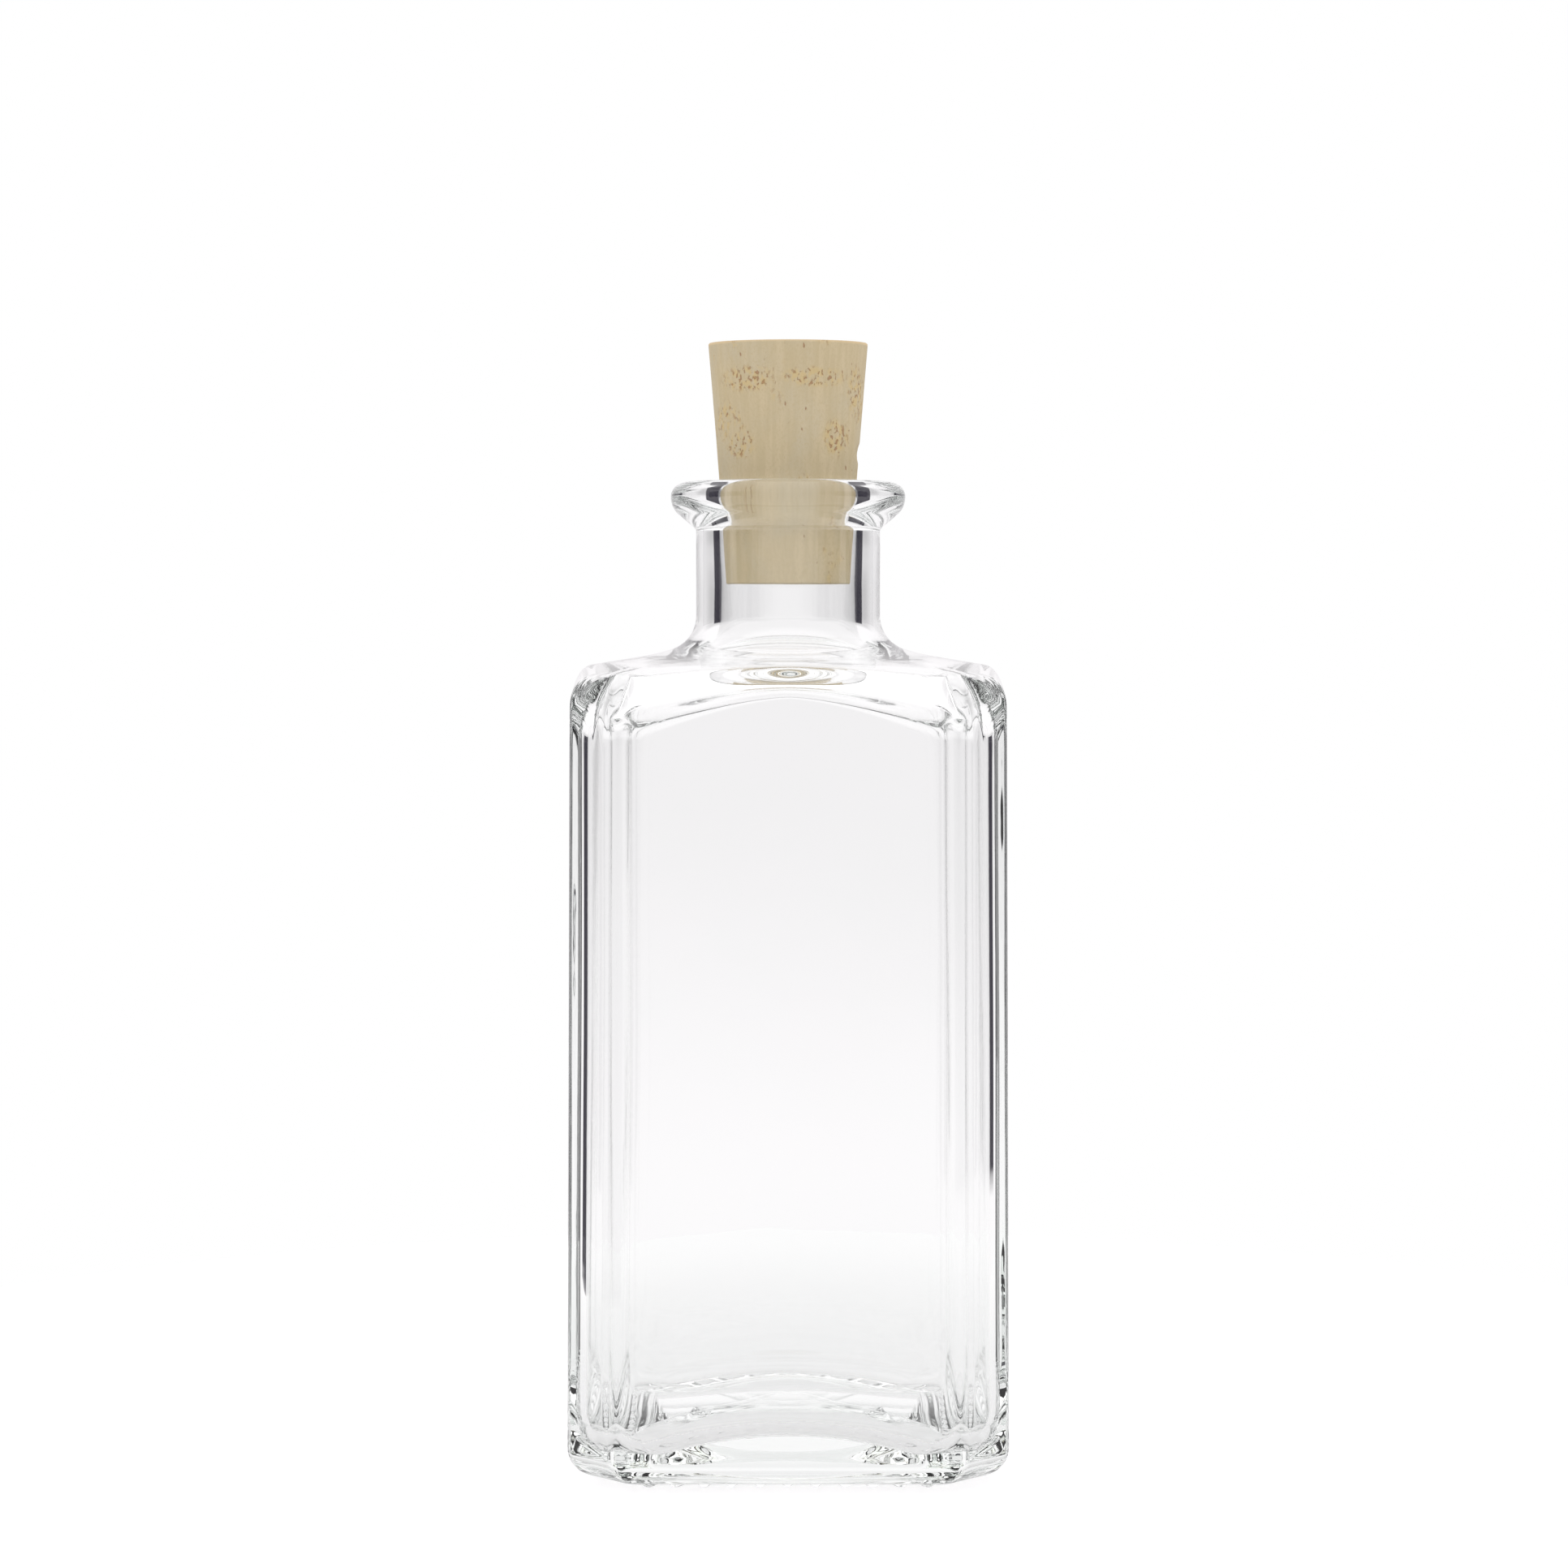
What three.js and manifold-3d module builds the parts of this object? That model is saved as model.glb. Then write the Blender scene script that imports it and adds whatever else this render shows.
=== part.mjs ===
// Square chamfered glass bottle with a round flanged neck, closed by a tapered cork.
// Millimetres, +Z up. The origin is on the bottle's axis, in the plane that it stands on.
// The front is -Y. The glass is one blown piece, and the cork is pushed into its neck.
import * as THREE from 'three';
import { mergeVertices } from 'three/addons/utils/BufferGeometryUtils.js';
import Module from 'manifold-3d';

// Body, outside
const BODY_HALF_WIDTH = 25.75;      // axis to a flat face, at the top of the wall
const BODY_DRAFT = 0.44;            // how much wider that is at the foot
const CHAMFER_LEG = 5.3;            // the cut corner, measured along a face
const CORNER_RADIUS = 1.6;          // rounding of the upright edges beside each chamfer

// Shoulder and neck, outside
const GLASS_HEIGHT = 119.5;         // from the knurls under the foot to the rim
const NECK_HEIGHT = 16.3;           // from the rim down to where the straight neck ends
const NECK_RADIUS = 11.3;
const NECK_FILLET = 4.3;
const FLARE_SLOPE = 17.4;           // degrees below level, where the fillet ends
const FLARE_RADIUS = 28.2;          // the long hollow curve after the fillet
const SHOULDER_SLOPE = 9.3;         // degrees below level of the cone out to the faces
const SHOULDER_ROUND = { face: 2.0, chamfer: 2.6, edge: 3.9 };
const ARCH_POWER = 1.5;             // how the rounding grows from a panel's middle to its edges

// Flanged rim
const RIM_RADIUS = 14.4;
const RIM_TOP_ROUND = 1.75;
const RIM_LOWER_ROUND = 2.9;
const RIM_UNDERCUT = 50;            // degrees from upright of the cone under the rim
const RIM_FOOT_FILLET = 0.8;
const LIP_ROUND = 1.0;              // inner edge of the mouth

// Inside of the glass
const WALL = 2.3;                   // at the middle of a face
const INNER_CHAMFER_LEG = 3.95;
const INNER_CORNER_RADIUS = 4.5;
const INNER_FILLET_EASE = 1.15;     // inner neck fillet, tighter than one of even wall by this
const INNER_ROUND = { face: 2.3, chamfer: 4.3, edge: 7.3 };
const FLOOR_Z = 4.2;                // inner floor, in the corners
const FLOOR_BOW = 2.0;              // how much higher it meets the middle of a face
const FLOOR_FILLET = 5.0;
const FLOOR_DOME = 3.0;             // how far the floor rises from the corners to its middle

// Foot
const HEEL_RADIUS = 3.9;
const FOOT_Z = 0.7;                 // the bearing ring between its knurls
const FOOT_RING_WIDTH = 3.2;
const PUSH_UP_SLOPE_WIDTH = 3.2;    // from the ring in to the hollow under the base
const PUSH_UP = 2.0;                // height of that hollow above the ring
const KNURL_PITCH = 3.3;
const KNURL_RADIUS = 0.9;
const KNURL_INSET = 0.3;            // from each side of the ring to a knurl's end

// Cork
const CORK_LENGTH = 29.8;
const CORK_DEPTH = 12.5;            // how far it is pushed in below the rim
const CORK_FOOT_RADIUS = 7.6;
const CORK_WAIST_RADIUS = 8.4;      // where it passes the mouth
const CORK_TOP_RADIUS = 9.75;
const CORK_WORN_EDGE = 0.25;        // blunted edges of its two ends
const CORK_CLEARANCE = 0.2;         // cork to glass at the mouth, on the radius
const BORE_TAPER = 0.35;            // how much narrower the bore is at the cork's foot
const CHIP_RADIUS = 1.1;            // the small piece broken out beside the rim
const CHIP_HEIGHT = 3.9;            // its middle, above the rim

// How finely the round and arched parts are divided
const FACE_STEPS = 8;
const CHAMFER_STEPS = 2;
const CORNER_STEPS = 2;
const CORK_SIDES = 40;
const KNURL_SIDES = 10;

const NECK_FOOT_Z = GLASS_HEIGHT - NECK_HEIGHT;
const FOOT_HALF_WIDTH = BODY_HALF_WIDTH + BODY_DRAFT;

const wasm = await Module();
wasm.setup();

const radians = THREE.MathUtils.degToRad;
const lerp = THREE.MathUtils.lerp;
const point = (radius, z) => new THREE.Vector2(radius, z);

// Points of an arc about a centre, from one angle in degrees to another. The first point is
// left out, because the run before it ends there.
function arc(centre, radius, from, to, steps) {
  const points = [];
  for (let i = 1; i <= steps; i++) {
    const angle = radians(lerp(from, to, i / steps));
    points.push(point(centre.x + radius * Math.cos(angle), centre.y + radius * Math.sin(angle)));
  }
  return points;
}

// Level section of the body: four faces and four chamfers with rounded upright edges between
// them. Each column has its angle and radius, and its share of the way from the middle of its
// panel to the panel's edge.
function section(halfWidth, chamferLeg, cornerRadius) {
  const columns = [];
  const turn = radians(45);
  const setBack = cornerRadius * Math.tan(turn / 2);
  for (let panel = 0; panel < 8; panel++) {
    const isFace = panel % 2 === 0;
    const out = isFace ? halfWidth : (2 * halfWidth - chamferLeg) * Math.SQRT1_2;
    const flatHalf = (isFace ? halfWidth - chamferLeg : chamferLeg * Math.SQRT1_2) - setBack;
    const steps = isFace ? FACE_STEPS : CHAMFER_STEPS;
    const add = (x, y, share) => {
      columns.push({ angle: Math.atan2(y, x) + panel * turn, radius: Math.hypot(x, y), isFace, share });
    };
    for (let i = 0; i <= steps; i++) {
      const across = 2 * i / steps - 1;
      add(out, across * flatHalf, Math.abs(across));
    }
    for (let i = 1; i < CORNER_STEPS; i++) {
      const angle = turn * i / CORNER_STEPS;
      add(out - cornerRadius * (1 - Math.cos(angle)), flatHalf + cornerRadius * Math.sin(angle), 1);
    }
  }
  return columns;
}

// The rounding at the top of a wall is small at the middle of a panel and grows to its edges,
// which gives each face and chamfer an arched top.
function roundingAt(column, round) {
  const middle = column.isFace ? round.face : round.chamfer;
  return lerp(middle, round.edge, column.share ** ARCH_POWER);
}

// From the straight neck down to an upright wall: fillet, hollow flare, cone and rounding.
function shoulderRun(neckRadius, fillet, wallRadius, rounding) {
  const flare = radians(FLARE_SLOPE);
  const slope = radians(SHOULDER_SLOPE);
  const run = [point(neckRadius, NECK_FOOT_Z)];
  run.push(...arc(point(neckRadius + fillet, NECK_FOOT_Z), fillet, 180, 270 - FLARE_SLOPE, 5));
  const flareStart = run.at(-1);
  const flareCentre = flareStart.clone().add(point(Math.sin(flare), Math.cos(flare)).multiplyScalar(FLARE_RADIUS));
  run.push(...arc(flareCentre, FLARE_RADIUS, 270 - FLARE_SLOPE, 270 - SHOULDER_SLOPE, 2));
  const coneStart = run.at(-1);
  const cornerZ = coneStart.y - (wallRadius - coneStart.x) * Math.tan(slope);
  const setBack = rounding * Math.tan((Math.PI / 2 - slope) / 2);
  const centre = point(wallRadius - rounding, cornerZ - setBack);
  run.push(point(centre.x + rounding * Math.sin(slope), centre.y + rounding * Math.cos(slope)));
  run.push(...arc(centre, rounding, 90 - SHOULDER_SLOPE, 0, 5));
  return run;
}

// How the body's radius grows from the top of the wall down to the foot.
function draftAt(z) {
  return 1 + BODY_DRAFT / BODY_HALF_WIDTH * (NECK_FOOT_Z - z) / NECK_FOOT_Z;
}

// Underside and heel, from the axis out to the wall. Distances are measured inwards from a
// face and kept in proportion round the chamfers.
function footRun(column) {
  const inset = (distance) => column.radius * draftAt(0) * (1 - distance / FOOT_HALF_WIDTH);
  const ringInner = HEEL_RADIUS + FOOT_RING_WIDTH;
  const hollow = ringInner + PUSH_UP_SLOPE_WIDTH;
  const run = [point(0, FOOT_Z + PUSH_UP), point(inset(hollow), FOOT_Z + PUSH_UP)];
  for (let i = 1; i <= 3; i++) {
    const rise = (1 + Math.cos(Math.PI * i / 3)) / 2;
    run.push(point(inset(lerp(hollow, ringInner, i / 3)), FOOT_Z + PUSH_UP * rise));
  }
  for (let i = 0; i <= 4; i++) {
    const angle = Math.PI / 2 * i / 4;
    const distance = HEEL_RADIUS * (1 - Math.sin(angle));
    run.push(point(inset(distance), FOOT_Z + HEEL_RADIUS * (1 - Math.cos(angle))));
  }
  return run;
}

// The flanged rim, from the neck up over the top to the mouth and down the bore.
function rimRun(boreRadius, boreFootRadius) {
  const undercut = radians(RIM_UNDERCUT);
  const crestZ = GLASS_HEIGHT - RIM_TOP_ROUND;
  const lowerCentre = point(RIM_RADIUS - RIM_LOWER_ROUND, crestZ);
  const coneTop = point(
    lowerCentre.x + RIM_LOWER_ROUND * Math.cos(undercut),
    crestZ - RIM_LOWER_ROUND * Math.sin(undercut),
  );
  const footX = NECK_RADIUS + RIM_FOOT_FILLET;
  const coneFoot = footX - RIM_FOOT_FILLET * Math.cos(undercut);
  const coneFootZ = coneTop.y - (coneTop.x - coneFoot) / Math.tan(undercut);
  const footCentre = point(footX, coneFootZ - RIM_FOOT_FILLET * Math.sin(undercut));
  const run = [point(NECK_RADIUS, footCentre.y)];
  run.push(...arc(footCentre, RIM_FOOT_FILLET, 180, 180 - RIM_UNDERCUT, 2));
  run.push(coneTop);
  run.push(...arc(lowerCentre, RIM_LOWER_ROUND, -RIM_UNDERCUT, 0, 3));
  run.push(...arc(point(RIM_RADIUS - RIM_TOP_ROUND, crestZ), RIM_TOP_ROUND, 0, 90, 4));
  const lipCentre = point(boreRadius + LIP_ROUND, GLASS_HEIGHT - LIP_ROUND);
  run.push(point(lipCentre.x, GLASS_HEIGHT));
  run.push(...arc(lipCentre, LIP_ROUND, 90, 180, 3));
  run.push(point(boreFootRadius, GLASS_HEIGHT - CORK_DEPTH));
  return run;
}

// Inner floor, from the wall to the axis.
function floorRun(column) {
  const wallRadius = column.radius * draftAt(FLOOR_Z);
  const edgeZ = FLOOR_Z + (column.isFace ? FLOOR_BOW * (1 - column.share ** 2) : 0);
  const centre = point(wallRadius - FLOOR_FILLET, edgeZ + FLOOR_FILLET);
  const run = [point(wallRadius, centre.y)];
  run.push(...arc(centre, FLOOR_FILLET, 0, -90, 4));
  for (let i = 1; i <= 4; i++) {
    const share = 1 - i / 4;
    const rise = (1 + Math.cos(Math.PI * share)) / 2;
    run.push(point(centre.x * share, lerp(edgeZ, FLOOR_Z + FLOOR_DOME, rise)));
  }
  return run;
}

// A closed geometry as a solid, and a solid as a geometry.
function solidOf(geometry) {
  const bare = geometry.clone();
  bare.deleteAttribute('normal');
  bare.deleteAttribute('uv');
  const merged = mergeVertices(bare, 1e-5);
  const corners = merged.index.array;
  const triangles = [];
  for (let i = 0; i < corners.length; i += 3) {
    const [a, b, c] = corners.slice(i, i + 3);
    if (a !== b && b !== c && c !== a) triangles.push(a, b, c);
  }
  const vertProperties = new Float32Array(merged.attributes.position.array);
  return new wasm.Manifold(new wasm.Mesh({ numProp: 3, vertProperties, triVerts: new Uint32Array(triangles) }));
}

function geometryOf(solid) {
  const mesh = solid.getMesh();
  const geometry = new THREE.BufferGeometry();
  geometry.setAttribute('position', new THREE.BufferAttribute(new Float32Array(mesh.vertProperties), 3));
  geometry.setIndex(new THREE.BufferAttribute(new Uint32Array(mesh.triVerts), 1));
  geometry.computeVertexNormals();
  return geometry;
}

// One closed shell: under the foot, up the outside, over the rim and down the inside. It is
// turned like a round bottle, and each column is then moved out to its place on the section.
function glassShell() {
  const boreRadius = CORK_WAIST_RADIUS + CORK_CLEARANCE;
  const boreFootRadius = boreRadius - BORE_TAPER;
  const outside = section(BODY_HALF_WIDTH, CHAMFER_LEG, CORNER_RADIUS);
  const inside = section(BODY_HALF_WIDTH - WALL, INNER_CHAMFER_LEG, INNER_CORNER_RADIUS);
  const innerFillet = NECK_FILLET + NECK_RADIUS - boreFootRadius - INNER_FILLET_EASE;
  const rim = rimRun(boreRadius, boreFootRadius);
  const profiles = outside.map((outer, i) => {
    const inner = inside[i];
    const up = shoulderRun(NECK_RADIUS, NECK_FILLET, outer.radius, roundingAt(outer, SHOULDER_ROUND)).reverse();
    const down = shoulderRun(boreFootRadius, innerFillet, inner.radius, roundingAt(inner, INNER_ROUND));
    return {
      outer: [...footRun(outer), ...up, ...rim],
      inner: [...down, ...floorRun(inner)],
    };
  });
  const rows = [...profiles[0].outer, ...profiles[0].inner];
  const geometry = new THREE.LatheGeometry(rows, profiles.length);
  const position = geometry.attributes.position;
  for (let i = 0; i <= profiles.length; i++) {
    const k = i % profiles.length;
    const profile = [...profiles[k].outer, ...profiles[k].inner];
    profile.forEach((p, j) => {
      const angle = j < profiles[k].outer.length ? outside[k].angle : inside[k].angle;
      position.setXYZ(i * rows.length + j, p.x * Math.cos(angle), p.x * Math.sin(angle), p.y);
    });
  }
  return solidOf(geometry);
}

// Short bars across the bearing ring, which keep hot glass off the cold conveyor. One lies at
// the middle of each face, and the rest follow the foot's outline.
function knurls() {
  const scale = draftAt(0) * (1 - (HEEL_RADIUS + FOOT_RING_WIDTH / 2) / FOOT_HALF_WIDTH);
  const corners = section(BODY_HALF_WIDTH, CHAMFER_LEG, CORNER_RADIUS)
    .map((c) => new THREE.Vector2().set(Math.cos(c.angle), Math.sin(c.angle)).multiplyScalar(c.radius * scale));
  const track = new THREE.Path([...corners, corners[0]]);
  const start = Math.abs(corners[0].y) / track.getLength();
  const count = 4 * Math.round(track.getLength() / KNURL_PITCH / 4);
  const bars = [];
  for (let i = 0; i < count; i++) {
    const along = (start + i / count) % 1;
    const at = track.getPointAt(along);
    const tangent = track.getTangentAt(along);
    const bar = new THREE.CylinderGeometry(
      KNURL_RADIUS, KNURL_RADIUS, FOOT_RING_WIDTH - 2 * KNURL_INSET, KNURL_SIDES,
    );
    bar.rotateY(Math.PI / KNURL_SIDES);
    bar.rotateZ(Math.atan2(-tangent.x, tangent.y) - Math.PI / 2);
    bar.translate(at.x, at.y, KNURL_RADIUS * Math.cos(Math.PI / KNURL_SIDES));
    bars.push(solidOf(bar));
  }
  return bars;
}

// The cork is cut from one piece and pressed a little narrower where it is in the neck.
function corkSolid() {
  const footZ = GLASS_HEIGHT - CORK_DEPTH;
  const topZ = footZ + CORK_LENGTH;
  const outline = [
    point(0, footZ),
    point(CORK_FOOT_RADIUS - CORK_WORN_EDGE, footZ),
    point(CORK_FOOT_RADIUS, footZ + CORK_WORN_EDGE),
    point(CORK_WAIST_RADIUS, GLASS_HEIGHT),
    point(CORK_TOP_RADIUS, topZ - CORK_WORN_EDGE),
    point(CORK_TOP_RADIUS - CORK_WORN_EDGE, topZ),
    point(0, topZ),
  ];
  const body = new THREE.LatheGeometry(outline, CORK_SIDES);
  body.rotateX(Math.PI / 2);
  const chipZ = GLASS_HEIGHT + CHIP_HEIGHT;
  const chipOut = lerp(CORK_WAIST_RADIUS, CORK_TOP_RADIUS, CHIP_HEIGHT / (CORK_LENGTH - CORK_DEPTH));
  const chip = new THREE.IcosahedronGeometry(CHIP_RADIUS, 1);
  chip.translate(chipOut + CHIP_RADIUS / 3, 0, chipZ);
  return solidOf(body).subtract(solidOf(chip));
}

const clearGlass = new THREE.MeshStandardMaterial({
  color: 0xeef4f2, roughness: 0.03, metalness: 0, transparent: true, opacity: 0.35,
});
const naturalCork = new THREE.MeshStandardMaterial({ color: 0xc3b28e, roughness: 0.85, metalness: 0 });

let glass = glassShell();
for (const bar of knurls()) glass = glass.add(bar);

const bottle = new THREE.Mesh(geometryOf(glass), clearGlass);
bottle.name = 'glass_bottle';
const cork = new THREE.Mesh(geometryOf(corkSolid()), naturalCork);
cork.name = 'cork_stopper';

const part = new THREE.Group();
part.add(bottle, cork);

export default part;
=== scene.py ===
# Square glass bottle with a tapered cork, in metres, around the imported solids.
import math
import bpy
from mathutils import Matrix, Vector, noise


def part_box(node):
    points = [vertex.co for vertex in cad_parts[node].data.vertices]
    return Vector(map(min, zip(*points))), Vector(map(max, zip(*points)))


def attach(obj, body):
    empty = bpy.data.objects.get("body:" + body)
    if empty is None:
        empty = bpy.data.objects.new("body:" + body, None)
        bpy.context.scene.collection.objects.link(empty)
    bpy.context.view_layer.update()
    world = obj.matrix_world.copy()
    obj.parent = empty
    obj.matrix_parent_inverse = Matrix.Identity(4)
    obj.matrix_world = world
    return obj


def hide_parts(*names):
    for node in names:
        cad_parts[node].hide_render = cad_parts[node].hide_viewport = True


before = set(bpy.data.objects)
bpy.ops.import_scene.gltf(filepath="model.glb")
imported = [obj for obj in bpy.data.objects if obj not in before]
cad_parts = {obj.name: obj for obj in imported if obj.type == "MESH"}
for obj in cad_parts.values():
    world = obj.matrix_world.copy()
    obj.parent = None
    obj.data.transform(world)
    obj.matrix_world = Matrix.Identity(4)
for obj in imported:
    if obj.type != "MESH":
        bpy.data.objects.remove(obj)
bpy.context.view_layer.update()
scene = bpy.context.scene

# Camera
# It stands close to the bottle at the height of the neck's foot and looks slightly down, so
# the bottle's foot is seen from above and the cork from below.
FRAME_PIXELS = 1932
FOCAL_PIXELS = 4554
SENSOR_WIDTH = 36.0
CAMERA_DISTANCE = 0.455
CAMERA_HEIGHT = 0.10155
CAMERA_SIDE = -0.0005
CAMERA_DIP = math.radians(2.4)

bpy.ops.object.select_all(action="DESELECT")
bpy.ops.object.camera_add(
    location=(CAMERA_SIDE, -CAMERA_DISTANCE, CAMERA_HEIGHT),
    rotation=(math.pi / 2 - CAMERA_DIP, 0, 0),
)
camera = bpy.context.object
camera.name = "studio_camera"
camera.data.sensor_width = SENSOR_WIDTH
camera.data.lens = SENSOR_WIDTH * FOCAL_PIXELS / FRAME_PIXELS
camera.data.clip_start = 0.01
scene.camera = camera

# Glass bottle
# One blown piece of clear soda glass: flat chamfered walls from the mould, a softer inside
# that the air shaped, a thick foot on a knurled ring and a pressed flange round the mouth.
GLASS_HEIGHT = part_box("glass_bottle")[1][2]
FOOT_HALF_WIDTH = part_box("glass_bottle")[1][0]
BODY_HALF_WIDTH = 0.02575
CHAMFER_LEG = 0.0053
CORNER_RADIUS = 0.0016
NECK_LENGTH = 0.0163
NECK_FOOT_Z = GLASS_HEIGHT - NECK_LENGTH
NECK_RADIUS = 0.0113
NECK_FILLET = 0.0043
FLARE_SLOPE = math.radians(17.4)
FLARE_RADIUS = 0.0282
SHOULDER_SLOPE = math.radians(9.3)
SHOULDER_ROUND = {"face": 0.0020, "chamfer": 0.0026, "edge": 0.0039}
ARCH_POWER = 1.5

RIM_RADIUS = 0.0144
RIM_TOP_ROUND = 0.00175
RIM_LOWER_ROUND = 0.0029
RIM_UNDERCUT = math.radians(50)
RIM_FOOT_FILLET = 0.0008
LIP_ROUND = 0.0010
BORE_RADIUS = 0.0086
BORE_FOOT_RADIUS = 0.00825
BORE_FOOT_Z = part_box("cork_stopper")[0][2]

WALL = 0.0023
INNER_CHAMFER_LEG = 0.00395
INNER_CORNER_RADIUS = 0.0045
INNER_FILLET_EASE = 0.00115
INNER_ROUND = {"face": 0.0023, "chamfer": 0.0043, "edge": 0.0073}
FLOOR_Z = 0.0042
FLOOR_BOW = 0.0020
FLOOR_FILLET = 0.0050
FLOOR_DOME = 0.0030
WAVE_DEPTH = 0.00016
WAVE_LENGTH = 0.022
WAVE_STRETCH = 0.6
WAVE_CORE = 0.005
NECK_WAVE = 0.3

HEEL_RADIUS = 0.0039
FOOT_Z = 0.0007
FOOT_RING_WIDTH = 0.0032
PUSH_UP_SLOPE_WIDTH = 0.0032
PUSH_UP = 0.0020
KNURL_PITCH = 0.0033
KNURL_RADIUS = 0.0009
KNURL_INSET = 0.0003

COLUMN_CROWDING = 0.8
WELD_DISTANCE = 1e-7

GLASS_IOR = 1.52
RIPPLE_SCALE = 90
RIPPLE_STRENGTH = 0.25
RIPPLE_DEPTH = 0.00012
GLASS_CLEAR = (1.0, 1.0, 1.0, 1.0)
GLASS_DULL = (0.985, 0.995, 0.99, 1.0)
DEPTH_TINT = (0.74, 0.87, 0.79, 1.0)
TINT_DENSITY = 3.0


def arc(centre, radius, start, end, steps):
    """The points of an arc after its first one."""
    points = []
    for i in range(1, steps + 1):
        angle = start + (end - start) * i / steps
        x = centre[0] + radius * math.cos(angle)
        points.append((x, centre[1] + radius * math.sin(angle)))
    return points


def line(start, end, steps):
    """The points of a straight line after its first one."""
    points = []
    for i in range(1, steps + 1):
        share = i / steps
        x = start[0] + (end[0] - start[0]) * share
        points.append((x, start[1] + (end[1] - start[1]) * share))
    return points


def section(half_width, chamfer_leg, corner_radius, face_steps=64, chamfer_steps=10, corner_steps=7):
    """Columns round a chamfered square: four faces, four chamfers and the rounds between them."""
    crowding = math.pi / 2 * COLUMN_CROWDING
    columns = []
    turn = math.pi / 4
    set_back = corner_radius * math.tan(turn / 2)
    for panel in range(8):
        face = panel % 2 == 0
        out = half_width if face else (2 * half_width - chamfer_leg) / math.sqrt(2)
        flat = (half_width - chamfer_leg if face else chamfer_leg / math.sqrt(2)) - set_back
        steps = face_steps if face else chamfer_steps
        spots = []
        for i in range(steps + 1):
            across = math.sin(crowding * (2 * i / steps - 1)) / math.sin(crowding)
            spots.append((out, across * flat, abs(across)))
        for i in range(1, corner_steps):
            angle = turn * i / corner_steps
            spots.append((
                out - corner_radius * (1 - math.cos(angle)),
                flat + corner_radius * math.sin(angle),
                1.0,
            ))
        for x, y, share in spots:
            columns.append({
                "angle": math.atan2(y, x) + panel * turn,
                "radius": math.hypot(x, y),
                "panel": "face" if face else "chamfer",
                "share": share,
            })
    return columns


def rounding_at(column, rounds):
    """The shoulder's rounding at a column, which grows from the middle of a panel to its edges."""
    middle = rounds[column["panel"]]
    return middle + (rounds["edge"] - middle) * column["share"] ** ARCH_POWER


def shoulder_run(neck_radius, fillet, wall_radius, rounding):
    """Points from the neck's foot through the flare and down the shoulder to the wall's top."""
    run = [(neck_radius, NECK_FOOT_Z)]
    down = 1.5 * math.pi
    run += arc((neck_radius + fillet, NECK_FOOT_Z), fillet, math.pi, down - FLARE_SLOPE, 16)
    start = run[-1]
    centre = (
        start[0] + FLARE_RADIUS * math.sin(FLARE_SLOPE),
        start[1] + FLARE_RADIUS * math.cos(FLARE_SLOPE),
    )
    run += arc(centre, FLARE_RADIUS, down - FLARE_SLOPE, down - SHOULDER_SLOPE, 6)
    cone = run[-1]
    corner_z = cone[1] - (wall_radius - cone[0]) * math.tan(SHOULDER_SLOPE)
    set_back = rounding * math.tan((math.pi / 2 - SHOULDER_SLOPE) / 2)
    centre = (wall_radius - rounding, corner_z - set_back)
    top = (
        centre[0] + rounding * math.sin(SHOULDER_SLOPE),
        centre[1] + rounding * math.cos(SHOULDER_SLOPE),
    )
    run += line(cone, top, 8)
    run += arc(centre, rounding, math.pi / 2 - SHOULDER_SLOPE, 0, 14)
    return run


def draft_at(z):
    """How much wider than at the neck's foot the body is at a height."""
    growth = (FOOT_HALF_WIDTH - BODY_HALF_WIDTH) / BODY_HALF_WIDTH
    return 1 + growth * (NECK_FOOT_Z - z) / NECK_FOOT_Z


def knurl_drop(along, inset):
    """How far a knurl stands below the ring, at a distance along it and in from the heel."""
    off = (along / KNURL_PITCH + 0.5) % 1 - 0.5
    side = abs(off * KNURL_PITCH)
    end = abs(inset - HEEL_RADIUS - FOOT_RING_WIDTH / 2) - FOOT_RING_WIDTH / 2 + KNURL_INSET
    reach = math.hypot(side, max(0.0, end + KNURL_RADIUS))
    if reach >= KNURL_RADIUS:
        return 0.0
    return max(0.0, FOOT_Z - KNURL_RADIUS + math.sqrt(KNURL_RADIUS ** 2 - reach ** 2))


def foot_run(column, along):
    """Points from the middle of the base over the push-up, the knurled ring and the heel."""
    slope_steps = 8
    ring_steps = 12
    heel_steps = 12

    def inset(distance):
        return column["radius"] * draft_at(0) * (1 - distance / FOOT_HALF_WIDTH)

    ring_inner = HEEL_RADIUS + FOOT_RING_WIDTH
    hollow = ring_inner + PUSH_UP_SLOPE_WIDTH
    run = [(0.0, FOOT_Z + PUSH_UP)]
    run += line(run[0], (inset(hollow), FOOT_Z + PUSH_UP), 5)
    for i in range(1, slope_steps + 1):
        rise = (1 + math.cos(math.pi * i / slope_steps)) / 2
        distance = hollow + (ring_inner - hollow) * i / slope_steps
        run.append((inset(distance), FOOT_Z + PUSH_UP * rise))
    for i in range(1, ring_steps + 1):
        distance = ring_inner - FOOT_RING_WIDTH * i / ring_steps
        run.append((inset(distance), FOOT_Z - knurl_drop(along, distance)))
    for i in range(1, heel_steps + 1):
        angle = math.pi / 2 * i / heel_steps
        distance = HEEL_RADIUS * (1 - math.sin(angle))
        run.append((inset(distance), FOOT_Z + HEEL_RADIUS * (1 - math.cos(angle))))
    return run


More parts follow.
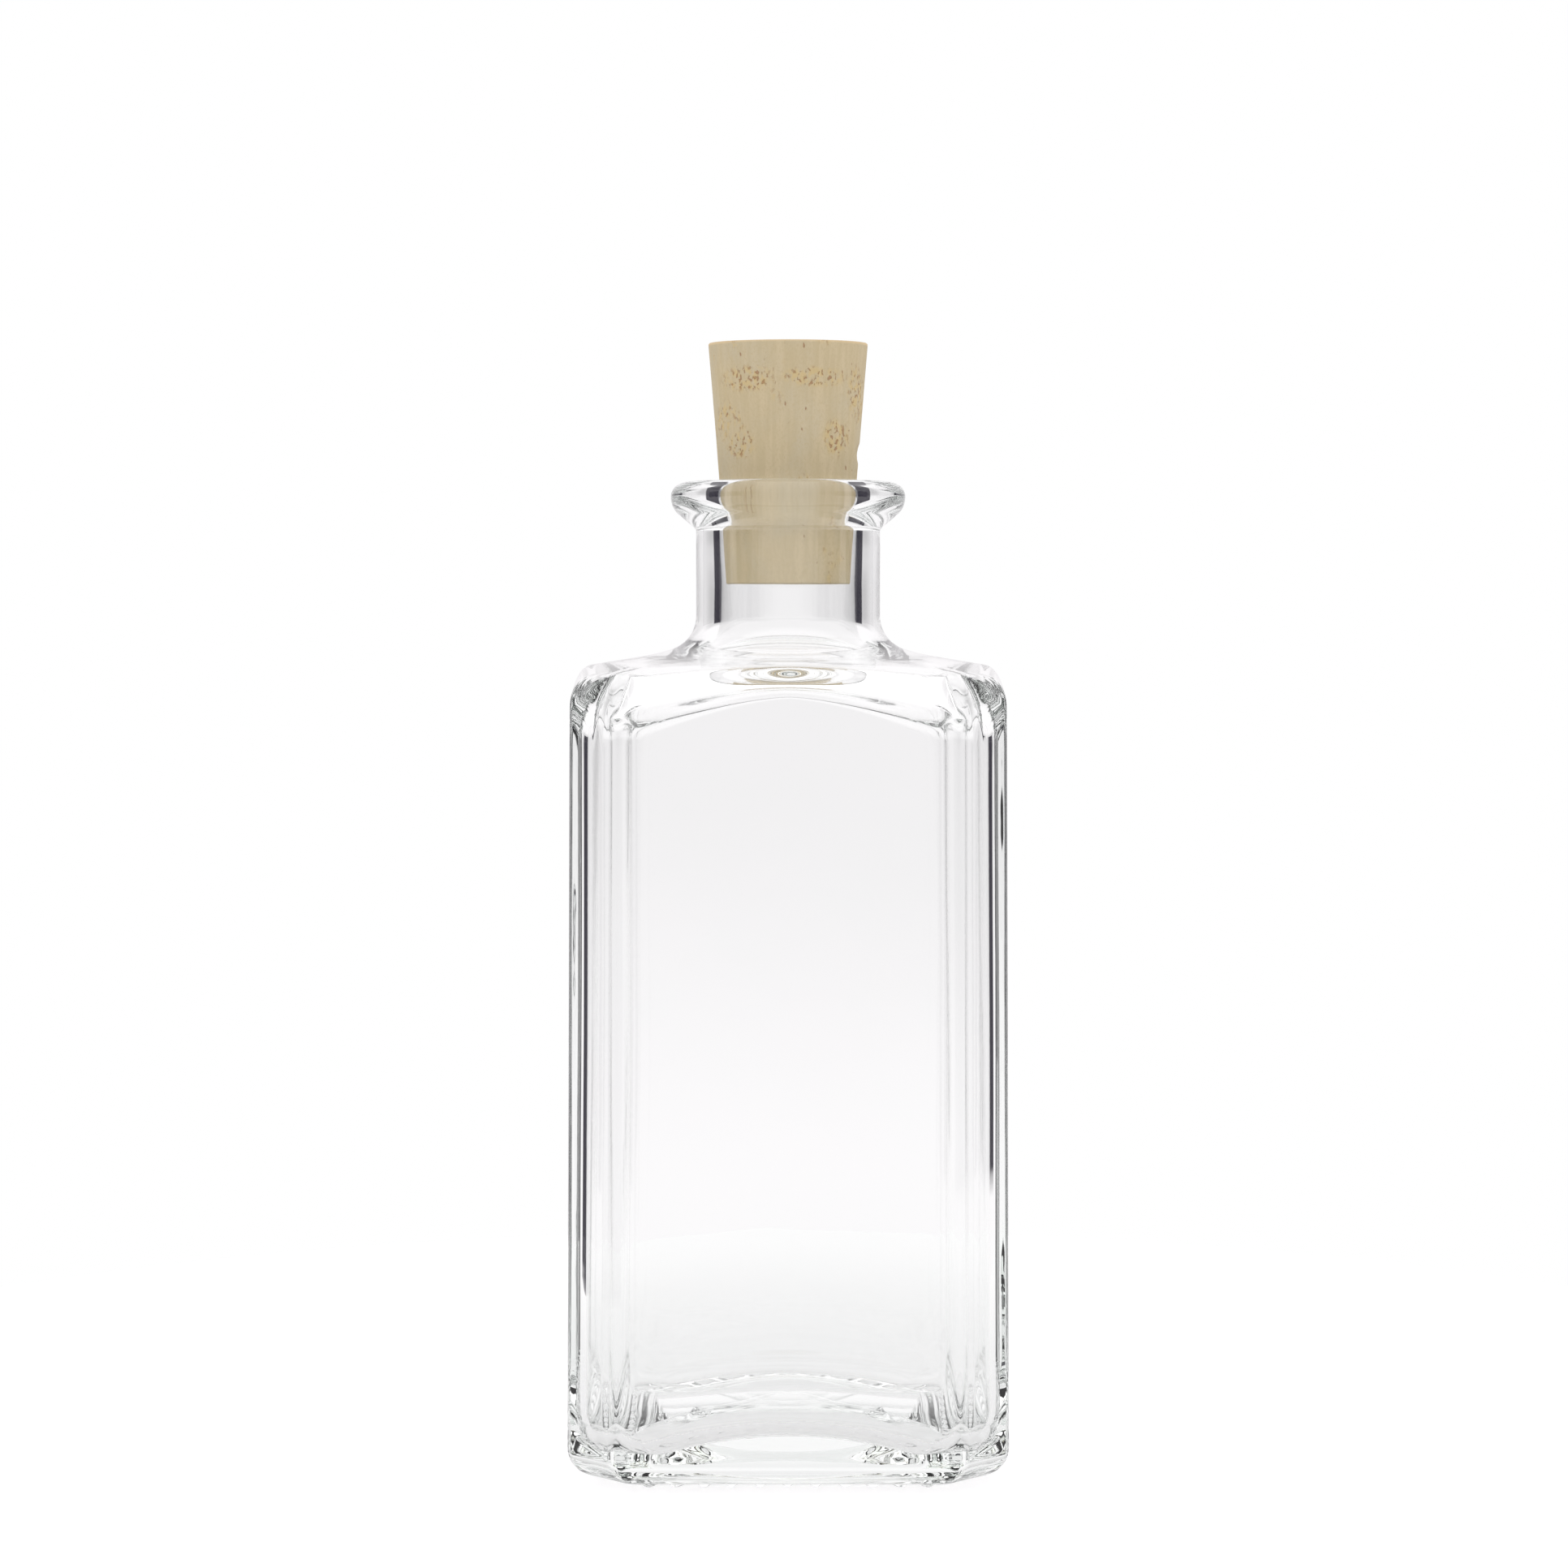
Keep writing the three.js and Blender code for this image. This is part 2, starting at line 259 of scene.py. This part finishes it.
def rim_run():
    """Points up the neck, round the flange and down the bore to the cork's foot."""
    crest_z = GLASS_HEIGHT - RIM_TOP_ROUND
    lower = (RIM_RADIUS - RIM_LOWER_ROUND, crest_z)
    cone_top = (
        lower[0] + RIM_LOWER_ROUND * math.cos(RIM_UNDERCUT),
        crest_z - RIM_LOWER_ROUND * math.sin(RIM_UNDERCUT),
    )
    foot_x = NECK_RADIUS + RIM_FOOT_FILLET
    cone_foot = foot_x - RIM_FOOT_FILLET * math.cos(RIM_UNDERCUT)
    cone_foot_z = cone_top[1] - (cone_top[0] - cone_foot) / math.tan(RIM_UNDERCUT)
    foot = (foot_x, cone_foot_z - RIM_FOOT_FILLET * math.sin(RIM_UNDERCUT))
    run = line((NECK_RADIUS, NECK_FOOT_Z), (NECK_RADIUS, foot[1]), 5)
    run += arc(foot, RIM_FOOT_FILLET, math.pi, math.pi - RIM_UNDERCUT, 6)
    run += line(run[-1], cone_top, 3)
    run += arc(lower, RIM_LOWER_ROUND, -RIM_UNDERCUT, 0, 12)
    run += arc((RIM_RADIUS - RIM_TOP_ROUND, crest_z), RIM_TOP_ROUND, 0, math.pi / 2, 12)
    lip = (BORE_RADIUS + LIP_ROUND, GLASS_HEIGHT - LIP_ROUND)
    run += line(run[-1], (lip[0], GLASS_HEIGHT), 3)
    run += arc(lip, LIP_ROUND, math.pi / 2, math.pi, 8)
    run += line(run[-1], (BORE_FOOT_RADIUS, BORE_FOOT_Z), 4)
    return run


def inside_run(column):
    """Points down the inside, from the bore's foot to the middle of the floor."""
    floor_steps = 12
    fillet = NECK_FILLET + NECK_RADIUS - BORE_FOOT_RADIUS - INNER_FILLET_EASE
    rounding = rounding_at(column, INNER_ROUND)
    run = shoulder_run(BORE_FOOT_RADIUS, fillet, column["radius"], rounding)
    wall_radius = column["radius"] * draft_at(FLOOR_Z)
    bow = FLOOR_BOW * (1 - column["share"] ** 2) if column["panel"] == "face" else 0.0
    edge_z = FLOOR_Z + bow
    centre = (wall_radius - FLOOR_FILLET, edge_z + FLOOR_FILLET)
    run += line(run[-1], (wall_radius, centre[1]), 44)
    run += arc(centre, FLOOR_FILLET, 0, -math.pi / 2, 12)
    for i in range(1, floor_steps + 1):
        share = 1 - i / floor_steps
        rise = (1 + math.cos(math.pi * share)) / 2
        run.append((centre[0] * share, edge_z + (FLOOR_Z + FLOOR_DOME - edge_z) * rise))
    return run


def wrapped_sheet(name, columns):
    """A grid bent round the axis, one column of points after another, and sewn shut."""
    rows = len(columns[0])
    bpy.ops.object.select_all(action="DESELECT")
    bpy.ops.mesh.primitive_grid_add(x_subdivisions=len(columns), y_subdivisions=rows - 1, size=1)
    piece = bpy.context.object
    piece.name = name
    points = []
    for j in range(rows):
        for i in range(len(columns) + 1):
            points += columns[i % len(columns)][j]
    piece.data.vertices.foreach_set("co", points)
    bpy.ops.object.mode_set(mode="EDIT")
    bpy.ops.mesh.select_all(action="SELECT")
    bpy.ops.mesh.remove_doubles(threshold=WELD_DISTANCE)
    bpy.ops.object.mode_set(mode="OBJECT")
    bpy.ops.object.shade_smooth()
    return piece


def bottle_columns():
    """The whole glass skin: base, wall, shoulder, rim and bore, and down the inside again."""
    outside = section(BODY_HALF_WIDTH, CHAMFER_LEG, CORNER_RADIUS)
    inside = section(BODY_HALF_WIDTH - WALL, INNER_CHAMFER_LEG, INNER_CORNER_RADIUS)
    ring_share = draft_at(0) * (1 - (HEEL_RADIUS + FOOT_RING_WIDTH / 2) / FOOT_HALF_WIDTH)
    corners = [
        Vector((math.cos(c["angle"]), math.sin(c["angle"]))) * c["radius"] * ring_share for c in outside
    ]
    lengths = [0.0]
    for here, after in zip(corners, corners[1:] + corners[:1]):
        lengths.append(lengths[-1] + (after - here).length)
    count = 4 * round(lengths[-1] / KNURL_PITCH / 4)
    middle = abs(corners[0].y)
    rim = rim_run()
    columns = []
    for k, (outer, inner) in enumerate(zip(outside, inside)):
        along = (lengths[k] - middle) / lengths[-1] * count * KNURL_PITCH
        up = shoulder_run(NECK_RADIUS, NECK_FILLET, outer["radius"], rounding_at(outer, SHOULDER_ROUND))
        up.reverse()
        foot = foot_run(outer, along)
        wall = line(foot[-1], up[0], 12)
        skin = foot + wall + up[1:] + rim
        points = []
        for radius, z in skin:
            points.append((radius * math.cos(outer["angle"]), radius * math.sin(outer["angle"]), z))
        for radius, z in inside_run(inner):
            x = radius * math.cos(inner["angle"])
            y = radius * math.sin(inner["angle"])
            wave = noise.noise(Vector((x, y, z * WAVE_STRETCH)) / WAVE_LENGTH) * WAVE_DEPTH
            fade = min(1.0, radius / BODY_HALF_WIDTH) if z < NECK_FOOT_Z else NECK_WAVE
            grow = 1 + wave * fade / max(radius, WAVE_CORE)
            points.append((x * grow, y * grow, z))
        columns.append(points)
    return columns


glass = wrapped_sheet("bottle_glass", bottle_columns())


def tinted(factor, below, above):
    """A mix of two colours, each written out or taken from another node."""
    node = nodes.new("ShaderNodeMix")
    node.data_type = "RGBA"
    links.new(factor, node.inputs["Factor"])
    for socket, colour in ((node.inputs["A"], below), (node.inputs["B"], above)):
        if isinstance(colour, tuple):
            socket.default_value = colour
        else:
            links.new(colour, socket)
    return node.outputs["Result"]


clear_glass = bpy.data.materials.new("clear_glass_polished")
clear_glass.use_nodes = True
nodes = clear_glass.node_tree.nodes
links = clear_glass.node_tree.links
shader = nodes["Principled BSDF"]
shader.inputs["Roughness"].default_value = 0.0
shader.inputs["IOR"].default_value = GLASS_IOR
shader.inputs["Transmission Weight"].default_value = 1.0
place = nodes.new("ShaderNodeTexCoord")
ripple = nodes.new("ShaderNodeTexNoise")
ripple.inputs["Scale"].default_value = RIPPLE_SCALE
ripple.inputs["Detail"].default_value = 2
links.new(place.outputs["Object"], ripple.inputs["Vector"])
ripple_bump = nodes.new("ShaderNodeBump")
ripple_bump.inputs["Strength"].default_value = RIPPLE_STRENGTH
ripple_bump.inputs["Distance"].default_value = RIPPLE_DEPTH
links.new(ripple.outputs["Fac"], ripple_bump.inputs["Height"])
links.new(ripple_bump.outputs["Normal"], shader.inputs["Normal"])
batch_tone = tinted(ripple.outputs["Fac"], GLASS_CLEAR, GLASS_DULL)
links.new(batch_tone, shader.inputs["Base Color"])
depth_tint = nodes.new("ShaderNodeVolumeAbsorption")
depth_tint.inputs["Color"].default_value = DEPTH_TINT
depth_tint.inputs["Density"].default_value = TINT_DENSITY
links.new(depth_tint.outputs["Volume"], nodes["Material Output"].inputs["Volume"])
glass.data.materials.append(clear_glass)
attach(glass, "bottle")
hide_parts("glass_bottle")

# Cork
# A tapered stopper cut from one piece of natural cork, with upright grain, brown pores in a
# band near its top and a small chip beside the rim. Its lower part is pressed into the neck.
# Its top edge carries a painted highlight: a thin lighter, warmer band of colour.
cork_low, cork_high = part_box("cork_stopper")
CORK_FOOT_Z = cork_low[2]
CORK_TOP_Z = cork_high[2]
CORK_TOP_RADIUS = 0.00975
CORK_WAIST_RADIUS = 0.0084
CORK_FOOT_RADIUS = 0.0076
CORK_WORN_EDGE = 0.00025
CORK_COLUMNS = 240
CHIP_PLACE = Vector((0.0088, -0.0008, GLASS_HEIGHT + 0.0036))
CHIP_RADIUS = 0.0013
CHIP_DEPTH = 0.0006
CHIP_RAGGED = 0.5
TOP_DIP = 0.0005
SWELL_LENGTH = 0.007
SWELL_DEPTH = 0.00006
GRAIN_WIDTH = 0.0007
GRAIN_LENGTH = 0.012
GRAIN_DEPTH = 0.000018
PIT_WIDTH = 0.0006
PIT_LEVEL = 0.42
PIT_DEPTH = 0.00022
PIT_SHIFT = Vector((7, 3, 1))
CORK_PALE = (0.640, 0.525, 0.350, 1.0)
CORK_TAN = (0.530, 0.430, 0.265, 1.0)
CORK_GREY = (0.550, 0.475, 0.340, 1.0)
# Painted highlight colour for the cork's top edge, where light from above catches the rounded rim.
CORK_EDGE_HIGHLIGHT = (0.76, 0.57, 0.34, 1.0)
PORE_PALE = (0.615, 0.465, 0.235, 1.0)
PORE_BROWN = (0.31, 0.135, 0.060, 1.0)
HALO_STRENGTH = 0.78
PORE_STRENGTH = 0.66
# Strength and height of the painted highlight along the cork's top edge.
EDGE_HIGHLIGHT_STRENGTH = 0.7
EDGE_HIGHLIGHT_HEIGHT = 0.0003
GRAIN_RELIEF = 0.35
SPECKLE_RELIEF = 0.3
RELIEF_STRENGTH = 0.5
RELIEF_DEPTH = 0.00025
PORE_FRONT = -0.7 * CORK_TOP_RADIUS
PORE_REACH = 2 * CORK_TOP_RADIUS
# Where pores lie close together: across, height, half width and half height.
PORE_PATCHES = (
    (-0.0049, 0.1317, 0.0034, 0.0017),
    (0.0031, 0.1319, 0.0042, 0.0013),
    (-0.0057, 0.1238, 0.0019, 0.0017),
    (0.0058, 0.1246, 0.0017, 0.0024),
    (0.0082, 0.1302, 0.0011, 0.0034),
    (-0.0078, 0.1268, 0.0009, 0.0024),
)


def cork_surface(radius, angle, z):
    """A point of the cork, with its slight out-of-roundness, shallow pits and the chip."""
    spot = Vector((radius * math.cos(angle), radius * math.sin(angle), z))
    edge = min(1.0, radius / CORK_FOOT_RADIUS) ** 6
    fibre = Vector((spot.x / GRAIN_WIDTH, spot.y / GRAIN_WIDTH, z / GRAIN_LENGTH))
    swell = noise.noise(spot / SWELL_LENGTH) * SWELL_DEPTH
    grain = noise.noise(fibre) * GRAIN_DEPTH
    pit = max(0.0, noise.noise(spot / PIT_WIDTH + PIT_SHIFT) - PIT_LEVEL) * PIT_DEPTH
    off = spot - CHIP_PLACE
    reach = Vector((off.x, off.y * 0.5, off.z)).length / CHIP_RADIUS
    ragged = 1 + CHIP_RAGGED * noise.noise(spot / PIT_WIDTH)
    chip = CHIP_DEPTH * ragged * max(0.0, 1 - reach ** 2)
    out = radius + edge * (swell + grain - pit) - chip
    dip = TOP_DIP * max(0.0, (z - GLASS_HEIGHT) / (CORK_TOP_Z - GLASS_HEIGHT)) ** 2
    dip *= 0.5 - 0.5 * spot.y / CORK_TOP_RADIUS
    return (out * math.cos(angle), out * math.sin(angle), z - dip)


def cork_columns():
    """The cork's outline, from the middle of its foot to the middle of its top, all round."""
    side_low = (CORK_FOOT_RADIUS - CORK_WORN_EDGE, CORK_FOOT_Z + CORK_WORN_EDGE)
    side_high = (CORK_TOP_RADIUS - CORK_WORN_EDGE, CORK_TOP_Z - CORK_WORN_EDGE)
    run = [(0.0, CORK_FOOT_Z)]
    run += line(run[-1], (side_low[0], CORK_FOOT_Z), 16)
    run += arc(side_low, CORK_WORN_EDGE, -math.pi / 2, 0, 4)
    run += line(run[-1], (CORK_WAIST_RADIUS, GLASS_HEIGHT), 60)
    run += line(run[-1], (CORK_TOP_RADIUS, side_high[1]), 90)
    run += arc(side_high, CORK_WORN_EDGE, 0, math.pi / 2, 4)
    run += line(run[-1], (0.0, CORK_TOP_Z), 20)
    columns = []
    for i in range(CORK_COLUMNS):
        angle = 2 * math.pi * i / CORK_COLUMNS
        columns.append([cork_surface(radius, angle, z) for radius, z in run])
    return columns


cork = wrapped_sheet("cork_body", cork_columns())

natural_cork = bpy.data.materials.new("natural_cork_grain")
natural_cork.use_nodes = True
nodes = natural_cork.node_tree.nodes
links = natural_cork.node_tree.links
shader = nodes["Principled BSDF"]
shader.inputs["Roughness"].default_value = 0.85
shader.inputs["Specular IOR Level"].default_value = 0.25


def cork_noise(scale, stretch, detail=3.0, shift=0.0):
    """Noise on the cork's own coordinates, in cells per metre, drawn out along the grain."""
    place = nodes.new("ShaderNodeTexCoord")
    mapping = nodes.new("ShaderNodeMapping")
    mapping.inputs["Scale"].default_value = (scale, scale, scale * stretch)
    mapping.inputs["Location"].default_value = (shift, shift, shift)
    links.new(place.outputs["Object"], mapping.inputs["Vector"])
    cloud = nodes.new("ShaderNodeTexNoise")
    cloud.inputs["Scale"].default_value = 1.0
    cloud.inputs["Detail"].default_value = detail
    links.new(mapping.outputs["Vector"], cloud.inputs["Vector"])
    return cloud.outputs["Fac"]


def stepped(value, low, high, start=0.0, end=1.0):
    """A soft step from start to end, as the value goes from low to high."""
    node = nodes.new("ShaderNodeMapRange")
    node.interpolation_type = "SMOOTHSTEP"
    links.new(value, node.inputs["Value"])
    node.inputs["From Min"].default_value = low
    node.inputs["From Max"].default_value = high
    node.inputs["To Min"].default_value = start
    node.inputs["To Max"].default_value = end
    return node.outputs["Result"]


def maths(operation, first, second=None):
    """One step of arithmetic on one or two values, each a number or from another node."""
    node = nodes.new("ShaderNodeMath")
    node.operation = operation
    for socket, value in zip(node.inputs, (first, second)):
        if isinstance(value, (int, float)):
            socket.default_value = value
        elif value is not None:
            links.new(value, socket)
    return node.outputs[0]


grain = cork_noise(scale=1300, stretch=0.05, detail=4.0)
clouds = cork_noise(scale=170, stretch=0.6, shift=4.0)
speckle = cork_noise(scale=3800, stretch=0.7, detail=2.0, shift=9.0)
colour = tinted(stepped(grain, 0.36, 0.66, 0.25, 0.70), CORK_TAN, CORK_PALE)
colour = tinted(stepped(clouds, 0.42, 0.70, 0.0, 0.75), colour, CORK_GREY)
colour = tinted(stepped(speckle, 0.45, 0.70, 0.0, 0.50), colour, CORK_TAN)

place = nodes.new("ShaderNodeTexCoord")
loose_pores = cork_noise(scale=260, stretch=0.8, detail=2.0, shift=6.0)
pore_zone = stepped(loose_pores, 0.60, 0.72, 0.0, 0.75)
for across, high, half_width, half_height in PORE_PATCHES:
    offset = nodes.new("ShaderNodeVectorMath")
    offset.operation = "SUBTRACT"
    offset.inputs[1].default_value = (across, PORE_FRONT, high)
    links.new(place.outputs["Object"], offset.inputs[0])
    share = nodes.new("ShaderNodeVectorMath")
    share.operation = "MULTIPLY"
    share.inputs[1].default_value = (1 / half_width, 1 / PORE_REACH, 1 / half_height)
    links.new(offset.outputs["Vector"], share.inputs[0])
    reach = nodes.new("ShaderNodeVectorMath")
    reach.operation = "LENGTH"
    links.new(share.outputs["Vector"], reach.inputs[0])
    patch = stepped(reach.outputs["Value"], 0.55, 1.15, 1.0, 0.0)
    pore_zone = maths("MAXIMUM", pore_zone, patch)
blotches = stepped(cork_noise(scale=1500, stretch=0.7, shift=1.0), 0.42, 0.60)
specks = stepped(cork_noise(scale=2500, stretch=0.7, detail=2.0, shift=2.0), 0.55, 0.65)
strays = stepped(cork_noise(scale=1500, stretch=0.45, detail=1.0, shift=12.0), 0.74, 0.79)
pore_halo = maths("MULTIPLY", blotches, pore_zone)
pore_mask = maths("MAXIMUM", maths("MULTIPLY", specks, pore_zone), strays)
colour = tinted(maths("MULTIPLY", pore_halo, HALO_STRENGTH), colour, PORE_PALE)
colour = tinted(maths("MULTIPLY", pore_mask, PORE_STRENGTH), colour, PORE_BROWN)
height = nodes.new("ShaderNodeSeparateXYZ")
links.new(place.outputs["Object"], height.inputs[0])
# Painted highlight: a thin lighter, warmer band along the cork's top edge, standing in for light from
# above on the rounded rim.
edge_z = CORK_TOP_Z - TOP_DIP
painted_edge_highlight = stepped(height.outputs["Z"], edge_z - EDGE_HIGHLIGHT_HEIGHT, edge_z, 0.0, EDGE_HIGHLIGHT_STRENGTH)
colour = tinted(painted_edge_highlight, colour, CORK_EDGE_HIGHLIGHT)
links.new(colour, shader.inputs["Base Color"])

relief = maths("SUBTRACT", maths("MULTIPLY", grain, GRAIN_RELIEF), pore_mask)
relief = maths("ADD", relief, maths("MULTIPLY", speckle, SPECKLE_RELIEF))
bump = nodes.new("ShaderNodeBump")
bump.inputs["Strength"].default_value = RELIEF_STRENGTH
bump.inputs["Distance"].default_value = RELIEF_DEPTH
links.new(relief, bump.inputs["Height"])
links.new(bump.outputs["Normal"], shader.inputs["Normal"])
cork.data.materials.append(natural_cork)
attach(cork, "cork")
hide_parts("cork_stopper")

# Floor
# A small plain floor that glows, white to the camera and dimmer to the glass. A part of its
# light comes from the studio, so that it keeps a soft shadow under the foot.
FLOOR_RADIUS = 0.165
FLOOR_NEAR_RADIUS = 0.08
FLOOR_GREY = (0.35, 0.35, 0.35, 1.0)
FLOOR_GLOW_TINT = (1.0, 0.985, 0.995, 1.0)
GLOW_TO_CAMERA = 0.78
GLOW_NEAR = 0.57
GLOW_FAR = 0.66

bpy.ops.object.select_all(action="DESELECT")
bpy.ops.mesh.primitive_circle_add(vertices=96, radius=FLOOR_RADIUS, fill_type="NGON")
floor = bpy.context.object
floor.name = "studio_floor"
white_floor = bpy.data.materials.new("white_floor")
white_floor.use_nodes = True
nodes = white_floor.node_tree.nodes
links = white_floor.node_tree.links
shader = nodes["Principled BSDF"]
shader.inputs["Base Color"].default_value = FLOOR_GREY
shader.inputs["Roughness"].default_value = 1.0
shader.inputs["Specular IOR Level"].default_value = 0.0
shader.inputs["Emission Color"].default_value = FLOOR_GLOW_TINT
floor_place = nodes.new("ShaderNodeTexCoord")
distance = nodes.new("ShaderNodeVectorMath")
distance.operation = "LENGTH"
links.new(floor_place.outputs["Object"], distance.inputs[0])
to_glass = stepped(distance.outputs["Value"], FLOOR_NEAR_RADIUS, FLOOR_RADIUS, GLOW_NEAR, GLOW_FAR)
light_path = nodes.new("ShaderNodeLightPath")
glow = nodes.new("ShaderNodeMapRange")
links.new(light_path.outputs["Is Camera Ray"], glow.inputs["Value"])
links.new(to_glass, glow.inputs["To Min"])
glow.inputs["To Max"].default_value = GLOW_TO_CAMERA
links.new(glow.outputs["Result"], shader.inputs["Emission Strength"])
floor.data.materials.append(white_floor)

# Light
# A plain white studio. The glass alone sees a slightly grey room in its place, with four dark
# upright flags, which draw its edges. Light that reaches the cork through the glass is raised,
# because the cork rendered too dark behind it.
STUDIO_WHITE = (1.0, 1.0, 1.0, 1.0)
ROOM_TINT = (0.903, 0.884, 0.897)
FLAG_TINT = (0.014, 0.011, 0.024, 1.0)
THROUGH_GLASS_GAIN = 0.75
# All angles are in degrees: up from level, or round from the line of front and back.
FLAG_START = 46
FLAG_END = 84
FLAG_SIDE_SOFTNESS = 3.0
FLAG_LOW = -9.0
FLAG_HIGH = 14.0
FLAG_TOP_SOFTNESS = 0.8
DIM_START = 26
DIM_END = 90
DIM_SIDE_SOFTNESS = 28.0
DIM_LOW = -2.5
DIM_HIGH = FLAG_HIGH + 4
DIM_TOP_SOFTNESS = 5.0
DIM_AMOUNT = 0.35
# Brighter bands of the room: where each starts, where it is whole and how much it adds.
BRIGHT_BANDS = (
    (1.0, 15.0, 0.13),
    (30.0, 58.0, 0.35),
    (-2.5, -8.5, 0.10),
)
world = bpy.data.worlds.new("studio_world")
scene.world = world
world.use_nodes = True
nodes = world.node_tree.nodes
links = world.node_tree.links
backdrop = nodes["Background"]


def between(value, low, high, softness):
    """1 between two angles and 0 outside them, with soft ends."""
    rise = stepped(value, low - softness / 2, low + softness / 2)
    fall = stepped(value, high - softness / 2, high + softness / 2, 1.0, 0.0)
    return maths("MULTIPLY", rise, fall)


coordinates = nodes.new("ShaderNodeTexCoord")
direction = nodes.new("ShaderNodeSeparateXYZ")
links.new(coordinates.outputs["Generated"], direction.inputs[0])
side = maths("ABSOLUTE", direction.outputs["X"])
depth = maths("ABSOLUTE", direction.outputs["Y"])
azimuth = maths("DEGREES", maths("ARCTAN2", side, depth))
elevation = maths("DEGREES", maths("ARCSINE", direction.outputs["Z"]))
flag_sides = between(azimuth, FLAG_START, FLAG_END, FLAG_SIDE_SOFTNESS)
flag_ends = between(elevation, FLAG_LOW, FLAG_HIGH, FLAG_TOP_SOFTNESS)
flags = maths("MULTIPLY", flag_sides, flag_ends)
dim_sides = between(azimuth, DIM_START, DIM_END, DIM_SIDE_SOFTNESS)
dim_ends = between(elevation, DIM_LOW, DIM_HIGH, DIM_TOP_SOFTNESS)
dimming = maths("MULTIPLY", dim_sides, dim_ends)
shade = maths("SUBTRACT", 1.0, maths("MULTIPLY", dimming, DIM_AMOUNT))
for start, whole, gain in BRIGHT_BANDS:
    shade = maths("ADD", shade, stepped(elevation, start, whole, 0.0, gain))
room = nodes.new("ShaderNodeVectorMath")
room.operation = "SCALE"
room.inputs[0].default_value = ROOM_TINT
links.new(shade, room.inputs["Scale"])
flagged_room = tinted(flags, room.outputs["Vector"], FLAG_TINT)
light_path = nodes.new("ShaderNodeLightPath")
reflected = light_path.outputs["Is Glossy Ray"]
refracted = light_path.outputs["Is Transmission Ray"]
scattered = maths("GREATER_THAN", light_path.outputs["Diffuse Depth"], 0.5)
unscattered = maths("SUBTRACT", 1.0, scattered)
seen_in_glass = maths("MULTIPLY", maths("MAXIMUM", reflected, refracted), unscattered)
links.new(tinted(seen_in_glass, STUDIO_WHITE, flagged_room), backdrop.inputs["Color"])
onto_cork = maths("MULTIPLY", maths("MULTIPLY", scattered, refracted), THROUGH_GLASS_GAIN)
links.new(maths("ADD", 1.0, onto_cork), backdrop.inputs["Strength"])
scene.cycles.max_bounces = 32
scene.cycles.transmission_bounces = 32
scene.cycles.glossy_bounces = 16
scene.view_settings.view_transform = "Standard"
